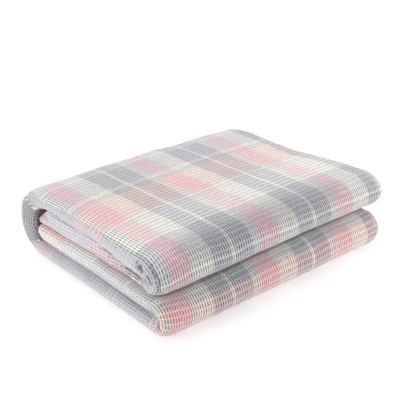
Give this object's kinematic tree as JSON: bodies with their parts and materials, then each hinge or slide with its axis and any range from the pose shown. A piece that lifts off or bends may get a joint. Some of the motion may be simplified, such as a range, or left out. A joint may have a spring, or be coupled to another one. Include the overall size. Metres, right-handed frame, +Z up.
{
  "type": "muslin blanket",
  "caption": "Soft muslin blanket in pastel pink, cream and grey plaid, folded into a flat rectangular pack with rounded folded edges, for a bed, a crib or a lap.",
  "frame": {"origin": "centre of the underside of the folded pack, on the surface that it lies on", "axes": "+X along the pack's long side, towards the end where the cloth's edges lie; +Y towards the closed back, away from the two rolled folds; +Z up"},
  "size_m": [0.386, 0.3216, 0.1007],
  "materials": {
    "muslin": "soft open muslin weave, woven plaid, matt and slightly fuzzy"
  },
  "bodies": {
    "root": {"muslin_blanket": "muslin"}
  },
  "joints": []
}
